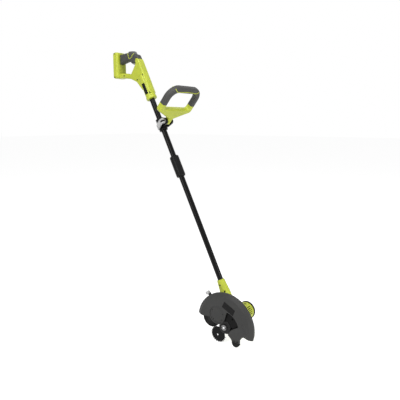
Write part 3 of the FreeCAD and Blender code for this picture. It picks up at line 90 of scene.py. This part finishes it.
# %% Sockets that can be added and multiplied
class Value:
    """One output of a node, for use in ordinary sums."""

    def __init__(self, finish, socket):
        self.finish, self.socket = finish, socket

    def sum_with(self, operation, first, second):
        return self.finish.node("ShaderNodeMath", {"operation": operation}, {0: first, 1: second})

    def __add__(self, other):
        return self.sum_with("ADD", self, other)

    def __mul__(self, other):
        return self.sum_with("MULTIPLY", self, other)

    def __sub__(self, other):
        return self.sum_with("SUBTRACT", self, other)

    def __rsub__(self, other):
        return self.sum_with("SUBTRACT", other, self)

    __radd__, __rmul__ = __add__, __mul__


# %% A finish and its nodes
class Finish:
    """A material with one main shader and the few nodes that vary it over the surface."""

    def __init__(self, name, colour, roughness, metallic=0.0):
        self.material = bpy.data.materials.new(name)
        self.material.use_nodes = True
        self.tree = self.material.node_tree
        self.tree.nodes.clear()
        self.shader = self.tree.nodes.new("ShaderNodeBsdfPrincipled")
        output = self.tree.nodes.new("ShaderNodeOutputMaterial")
        self.tree.links.new(self.shader.outputs[0], output.inputs[0])
        self.material.diffuse_color = (*colour, 1)
        self.coat(**{"Base Color": (*colour, 1), "Roughness": roughness, "Metallic": metallic})

    def feed(self, socket, value):
        if isinstance(value, Value):
            self.tree.links.new(value.socket, socket)
        else:
            socket.default_value = value

    def node(self, kind, settings, inputs, output=0):
        made = self.tree.nodes.new(kind)
        for name, value in settings.items():
            setattr(made, name, value)
        for name, value in inputs.items():
            self.feed(made.inputs[name], value)
        return None if output is None else Value(self, made.outputs[output])

    def coat(self, **inputs):
        for name, value in inputs.items():
            self.feed(self.shader.inputs[name], value)

    def place(self, scale=(1, 1, 1), turn=(0, 0, 0)):
        """Positions on the piece itself, in metres, stretched and turned as asked."""
        spot = self.node("ShaderNodeTexCoord", {}, {}, "Object")
        return self.node("ShaderNodeMapping", {}, {0: spot, 2: turn, 3: scale})

    def noise(self, size, detail=2.0, scale=(1, 1, 1), turn=(0, 0, 0)):
        """Smooth noise from 0 to 1 whose lumps are about `size` metres across."""
        return self.node("ShaderNodeTexNoise", {}, {"Vector": self.place(scale, turn), "Scale": 1 / size,
                                                    "Detail": detail})

    def ramp(self, value, low, high):
        """0 below `low`, 1 above `high`, and smooth between them."""
        return self.node("ShaderNodeMapRange", {"interpolation_type": "SMOOTHSTEP"},
                         {0: value, 1: low, 2: high, 3: 0.0, 4: 1.0})

    def mix(self, factor, first, second):
        return self.node("ShaderNodeMix", {"data_type": "RGBA"}, {0: factor, 6: first, 7: second}, 2)

    def edges(self, radius):
        """1 along corners and 0 on open faces: how far a rounded normal leans from the true one."""
        soft = self.node("ShaderNodeBevel", {"samples": 4}, {"Radius": radius})
        true = self.node("ShaderNodeNewGeometry", {}, {}, "Normal")
        likeness = self.node("ShaderNodeVectorMath", {"operation": "DOT_PRODUCT"},
                             {0: soft, 1: true}, "Value")
        return self.ramp(1 - likeness, 0.01, 0.12)

    def bump(self, height, depth, soft_edge=0.0):
        """Relief `depth` metres high, over corners that are rounded by `soft_edge`."""
        inputs = {"Height": height, "Distance": depth, "Strength": 1.0}
        if soft_edge:
            inputs["Normal"] = self.node("ShaderNodeBevel", {"samples": 4}, {"Radius": soft_edge})
        self.coat(Normal=self.node("ShaderNodeBump", {}, inputs))


def shade(colour, amount):
    """A colour made lighter or darker by a factor, with an alpha of 1."""
    return (*(min(1.0, part * amount) for part in colour), 1)


print("finish tools ready")

# %% [markdown]
# Injection-moulded plastic is never quite even. Its skin has a fine spark-eroded grain, its colour
# drifts a little where the melt flowed, and its corners are lightened: partly rubbed wear and partly
# a painted highlight, which on the dark guard paints a lit band along its bevel. One recipe covers
# the lime housing, the dark guard and the small black and grey mouldings; only the colour, the grain
# and the gloss change, so it is a function with those as its arguments.

# %% Moulded plastic
def moulded(name, colour, roughness, grain=0.0008, relief=0.00001, edge_wear_and_highlight=1.25, soft_edge=0.0006, shine=0.35):
    made = Finish(name, colour, roughness)
    flow = made.noise(0.09, 3)
    cloud = made.noise(0.012, 4)
    tone = made.mix(made.ramp(flow, 0.35, 0.7), shade(colour, 0.94), shade(colour, 1.05))
    # Lighter corners: partly rubbed wear and partly a painted highlight along the edges.
    tone = made.mix(made.edges(0.0012) * 0.5, tone, shade(colour, edge_wear_and_highlight))
    skin = made.noise(grain, 2)
    made.coat(**{"Base Color": tone, "Roughness": roughness - 0.08 + cloud * 0.14 + skin * 0.04,
                 "Specular IOR Level": shine})
    made.bump(skin + cloud * 0.4, relief, soft_edge)
    return made


BLACK, NEAR_BLACK = (0.006, 0.006, 0.006), (0.009, 0.009, 0.009)
finishes = {
    "green_plastic": moulded("lime_moulding", (0.5, 0.56, 0.048), 0.32, soft_edge=0.0014, edge_wear_and_highlight=1.15),
    # The guard's corner factor of 1.6 paints a lighter band along its bevel: a painted highlight.
    "guard_plastic": moulded("guard_moulding", (0.05, 0.05, 0.049), 0.42, 0.001, 0.00004, 1.6, 0.0014, 0.15),
    "black_plastic": moulded("black_moulding", BLACK, 0.36, shine=0.12),
    "grey_plastic": moulded("pale_grey_moulding", (0.48, 0.48, 0.48), 0.32),
    "key_plastic": moulded("mid_grey_moulding", (0.13, 0.13, 0.13), 0.36),
    "label_plastic": moulded("bare_plate", BLACK, 0.25, shine=0.12),
    "wheel_plastic": moulded("wheel_moulding", (0.003, 0.003, 0.003), 0.45, 0.001, 0.00006, shine=0.15),
    "lead_jacket": moulded("lead_jacket", NEAR_BLACK, 0.5, shine=0.2),
    "case_paint": moulded("case_paint", BLACK, 0.45, 0.0015, 0.00005, shine=0.2),
}
print("plastics:", ", ".join(finishes))

# %% [markdown]
# The two hand grips are a soft rubber moulded over the hard handle. Real grip rubber has rows of tiny
# raised cells so that a wet glove holds it. Voronoi cells turned into a dome each make that pattern
# without any image, and a broad low noise leaves the shine uneven, as rubbed rubber is.

# %% Grip rubber
CELLS_PER_METRE = 520.0


def grip_rubber(colour):
    made = Finish("grip_rubber", colour, 0.62)
    cells = made.node("ShaderNodeTexVoronoi", {"feature": "F1"},
                      {"Vector": made.place(), "Scale": CELLS_PER_METRE, "Randomness": 0.25}, "Distance")
    domes = made.ramp(cells, 0.62, 0.1)
    rubbed = made.noise(0.03, 3)
    # The colour is darker between the cells and lighter on their tops: painted shade in the gaps and a
    # painted highlight on the domes.
    tone = made.mix(domes * 0.35, shade(colour, 0.85), shade(colour, 1.2))
    tone = made.mix(made.ramp(rubbed, 0.45, 0.75) * 0.4, tone, shade(colour, 1.35))
    made.coat(**{"Base Color": tone, "Roughness": 0.45 + rubbed * 0.25, "Specular IOR Level": 0.4})
    made.bump(domes + rubbed * 0.3, 0.00012, 0.0012)
    return made


finishes["grip_rubber"] = grip_rubber((0.05, 0.05, 0.048))
print("rubber cells are about", round(1000 / CELLS_PER_METRE, 1), "mm apart")

# %% [markdown]
# The tubes are powder coated: a thick black skin with a slight orange-peel ripple that bends the long
# highlight. The blade has a thinner black coat that grinds away along its teeth, so its corners show
# bare steel. Both are paint over metal and share one recipe with a chosen amount of wear.

# %% Painted and coated steel
def coated(name, colour, roughness, peel, wear, shine=0.3, steel=(0.3, 0.3, 0.31)):
    made = Finish(name, colour, roughness)
    ripple = made.noise(peel, 2)
    chips = made.noise(0.004, 4)
    bare = made.ramp(made.edges(0.0008) + chips * 0.9, 1.12, 1.4) * wear
    made.coat(**{"Base Color": made.mix(bare, shade(colour, 1.0), (*steel, 1)), "Metallic": bare,
                 "Roughness": roughness + chips * 0.1 + bare * 0.1, "Specular IOR Level": shine})
    made.bump(ripple, 0.00002)
    return made


finishes["tube_paint"] = coated("tube_powder_coat", (0.002, 0.002, 0.002), 0.12, 0.003, 0.1, 0.14)
finishes["blade_paint"] = coated("blade_coat", (0.004, 0.004, 0.004), 0.45, 0.0015, 0.12, 0.1)
finishes["black_steel"] = coated("black_oxide", (0.006, 0.006, 0.006), 0.4, 0.001, 0.25, 0.2)
print("coated:", finishes["tube_paint"].material.name, finishes["blade_paint"].material.name)

# %% [markdown]
# Bare metal gets its look from its roughness. A turned face carries fine rings and a drawn pin carries
# fine lines, so noise squeezed along one axis, used for roughness and a whisper of bump, is enough.

# %% Bare metal
def bare_metal(name, colour, roughness, lines=(1, 1, 12)):
    made = Finish(name, colour, roughness, 1.0)
    marks = made.noise(0.004, 3, lines)
    stain = made.noise(0.02, 3)
    tone = made.mix(made.ramp(stain, 0.4, 0.75) * 0.5, shade(colour, 1.0), shade(colour, 0.75))
    made.coat(**{"Base Color": tone, "Roughness": roughness - 0.06 + marks * 0.16 + stain * 0.08})
    made.bump(marks, 0.00002, 0.0004)
    return made


finishes.update({
    "zinc_steel": bare_metal("zinc_plate", (0.55, 0.55, 0.54), 0.34),
    "nut_steel": bare_metal("dark_turned_steel", (0.16, 0.16, 0.16), 0.3, (8, 1, 8)),
    "bright_steel": bare_metal("ground_steel", (0.62, 0.62, 0.63), 0.26),
    "motor_steel": bare_metal("plated_can", (0.45, 0.45, 0.47), 0.36),
    "gear_steel": bare_metal("oiled_gear_steel", (0.35, 0.35, 0.36), 0.3),
    "cast_alloy": bare_metal("cast_alloy", (0.38, 0.39, 0.4), 0.5, (1, 1, 1)),
    "contact_brass": bare_metal("contact_metal", (0.7, 0.55, 0.26), 0.3),
})
print("finishes:", len(finishes))

# %% [markdown]
# Each CAD piece names the material slot that it takes, so one loop dresses them all. Only the slots on
# the object change: its mesh stays as it came.

# %% Dress the CAD pieces
slot_of = {part["node"]: part["material_slot"] for part in record["subparts"]}
for name, piece in nodes.items():
    for holder in piece.material_slots:
        holder.link = "OBJECT"
        holder.material = finishes[slot_of[name]].material
print("dressed", len(nodes), "pieces")

# %% [markdown]
# A stylist's line of lime runs over each rubber grip: a slim raised welt that lies on the curved
# skin. Its corners are known from the front or from the side only, so each point is dropped on to the
# rubber by a ray, which is how a line is shrink-wrapped by hand. A curve with a small round bevel then
# gives the welt its section, and it is turned into a mesh.

# %% Drop points on to a piece
RAY_START = 0.06
WELT_LIFT = 0.0001
GRIP_WELT, LOOP_WELT = 0.0014, 0.0018
ROUNDING = 0.35


def skin_of(name):
    """A search tree over one CAD piece's faces."""
    mesh = nodes[name].data
    return BVHTree.FromPolygons([v.co for v in mesh.vertices], [list(p.vertices) for p in mesh.polygons])


def dropped(tree, start, direction, lift):
    """Where a ray first meets the skin, lifted off it a little, or None where it misses."""
    hit, normal, _, _ = tree.ray_cast(Vector(start), Vector(direction))
    return None if hit is None else hit + normal * lift


def welt(name, spots, radius, finish, body):
    """A round bead along points that already lie on the skin."""
    line = bpy.data.curves.new(name, "CURVE")
    line.dimensions, line.bevel_depth, line.bevel_resolution, line.use_fill_caps = "3D", radius, 3, True
    run = line.splines.new("POLY")
    run.points.add(len(spots) - 1)
    for point, spot in zip(run.points, spots):
        point.co = (*spot, 1)
    drawn = bpy.data.objects.new(name + "_line", line)
    mesh = bpy.data.meshes.new_from_object(drawn)
    bpy.data.objects.remove(drawn)
    piece = bpy.data.objects.new(name, mesh)
    bpy.context.scene.collection.objects.link(piece)
    mesh.shade_smooth()
    mesh.materials.clear()
    mesh.materials.append(finishes[finish].material)
    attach(piece, body)
    return piece


def smooth_path(corners, steps=14):
    """A curve through corner points that rounds each of them gently."""
    spots = []
    for i in range(len(corners) - 1):
        a, b = Vector(corners[max(i - 1, 0)]), Vector(corners[i])
        c, d = Vector(corners[i + 1]), Vector(corners[min(i + 2, len(corners) - 1)])
        for step in range(steps):
            t = step / steps
            start, end = (c - a) * ROUNDING, (d - b) * ROUNDING
            spots.append(b * (2 * t**3 - 3 * t**2 + 1) + start * (t**3 - 2 * t**2 + t)
                         + c * (3 * t**2 - 2 * t**3) + end * (t**3 - t**2))
    return spots + [Vector(corners[-1])]


print("welt tools ready")

# %% [markdown]
# The rear grip's line is a shallow V on each cheek. Its corners are given as shares of the grip's own
# box, from back to front and from bottom to top, and are dropped straight sideways on to the rubber.

# %% Line on the rear grip
grip_low, grip_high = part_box("rear_grip")
grip_tree = skin_of("rear_grip")
GRIP_LINE = [(0.455, 0.93), (0.53, 0.44), (0.66, 0.55), (0.745, 0.86)]
for side, word in ((-1, "blade_side"), (1, "motor_side")):
    corners = [(grip_low[0] + u * (grip_high[0] - grip_low[0]), side * RAY_START,
                grip_low[2] + v * (grip_high[2] - grip_low[2])) for u, v in GRIP_LINE]
    spots = [dropped(grip_tree, spot, (0, -side, 0), WELT_LIFT) for spot in smooth_path(corners)]
    spots = [spot for spot in spots if spot is not None]
    welt("grip_line_" + word, spots, GRIP_WELT, "green_plastic", "tool")
    print("rear grip line", word, len(spots), "points")

# %% [markdown]
# The loop's line follows the top bar of the loop and turns down at both ends. The loop leans forward,
# so its corners are set out from the hinge in the loop's own plane: metres to the side and metres up.

# %% Line on the loop grip
hinge = next(joint for joint in record["behaviour"]["joints"] if joint["name"] == "loop_tilt")
LEAN = math.radians(39.5)
across = Vector((math.cos(LEAN), 0, -math.sin(LEAN)))
upward = Vector((math.sin(LEAN), 0, math.cos(LEAN)))
loop_tree = skin_of("loop_grip")
LOOP_LINE = [(-0.088, 0.184), (-0.066, 0.170), (0.0, 0.1735), (0.066, 0.1705), (0.078, 0.180)]
for side, word in ((1, "front"), (-1, "back")):
    corners = [Vector(hinge["pos_m"]) + Vector((0, y, 0)) + upward * z + across * (RAY_START * side)
               for y, z in LOOP_LINE]
    spots = [dropped(loop_tree, spot, across * -side, WELT_LIFT) for spot in smooth_path(corners)]
    spots = [spot for spot in spots if spot is not None]
    welt("loop_line_" + word, spots, LOOP_WELT, "green_plastic", "loop")
    print("loop line", word, len(spots), "points")

# %% [markdown]
# The studio is a pale sweep under an even white sky. What the camera sees behind the object should be
# white, but that white must not come from more light on the object, so the world and the floor ask
# which kind of ray is looking at them. Camera, glossy and transmission rays get plain white.

# %% White surroundings
WORLD_LIGHT, WHITE_SEEN, FLOOR_GLOW = 0.3, 0.7, 0.7


def seen_rays(finish):
    """1 for camera, glossy and transmission rays."""
    rays = finish.node("ShaderNodeLightPath", {}, {}, "Is Camera Ray")
    source = rays.socket.node
    total = rays
    for word in ("Is Glossy Ray", "Is Transmission Ray"):
        total = total.sum_with("MAXIMUM", total, Value(finish, source.outputs[word]))
    return total


class Surround(Finish):
    """The world's own graph, with the same node method as a finish."""

    def __init__(self, room):
        self.tree = room.node_tree
        self.tree.nodes.clear()


world = bpy.data.worlds.new("white_room")
bpy.context.scene.world = world
world.use_nodes = True
sky = Surround(world)
brightness = seen_rays(sky) * WHITE_SEEN + WORLD_LIGHT
white_sky = sky.node("ShaderNodeBackground", {}, {"Color": (1, 1, 1, 1), "Strength": brightness})
sky.node("ShaderNodeOutputWorld", {}, {"Surface": white_sky}, None)
print("world light for surfaces:", WORLD_LIGHT)

# %% [markdown]
# The floor is a wide pale sheet at the height of the ground. It adds a little light of its own for the
# camera, which lifts it to the white of the sky, and still darkens where the tool shades it.

# %% Floor
reach = 30.0
sheet = bpy.data.meshes.new("studio_floor")
sheet.from_pydata([(-reach, -reach, 0), (reach, -reach, 0), (reach, reach, 0), (-reach, reach, 0)], [],
                  [(0, 1, 2, 3)])
floor = bpy.data.objects.new("studio_floor", sheet)
floor.location.z = cad_box[0][2] - 0.0005
bpy.context.scene.collection.objects.link(floor)
pale = Finish("pale_floor", (0.92, 0.92, 0.92), 0.8)
glow = pale.mix(seen_rays(pale), (0, 0, 0, 1), (FLOOR_GLOW, FLOOR_GLOW, FLOOR_GLOW, 1))
pale.coat(**{"Emission Color": glow, "Emission Strength": 1.0, "Specular IOR Level": 0.0})
sheet.materials.append(pale.material)
print("floor at", round(floor.location.z, 4))

# %% [markdown]
# Three soft area lamps stand round the tool: a tall key in front of the guard's face, a low fill
# from ahead of the tool and a wide one high in front. The key is tall and narrow because a round
# tube mirrors it as a streak, and its height keeps that streak unbroken from end to end. A lamp of P
# watts at distance d lights a facing surface to about P / (pi d)^2 of its own colour, so each
# strength is worked out from the share of the light that the lamp should give.

# %% Lamps
aim = Vector([(low + high) / 2 for low, high in zip(*cad_box)])


def lamp(name, azimuth, elevation, distance, wide, tall, share):
    """An area lamp that faces the tool and gives it a share of full light."""
    a, e = math.radians(azimuth), math.radians(elevation)
    out = Vector((math.sin(a) * math.cos(e), -math.cos(a) * math.cos(e), math.sin(e)))
    data = bpy.data.lights.new(name, "AREA")
    data.shape, data.size, data.size_y = "RECTANGLE", wide, tall
    data.energy = share * (math.pi * distance) ** 2
    holder = bpy.data.objects.new(name, data)
    bpy.context.scene.collection.objects.link(holder)
    holder.location = aim + out * distance
    holder.rotation_euler = out.to_track_quat("Z", "Y").to_euler()
    return data.energy


for words in (("key_lamp", 0, 24, 3.2, 0.7, 2.4, 0.38), ("fill_lamp", 84, 4, 3.4, 1.2, 1.6, 0.4),
              ("top_lamp", 40, 62, 3.0, 2.4, 1.2, 0.48)):
    print(words[0], round(lamp(*words), 1), "W")

# %% [markdown]
# The picture is developed plainly: the Standard view keeps each colour as it was written.

# %% Finish
bpy.context.scene.view_settings.view_transform = "Standard"
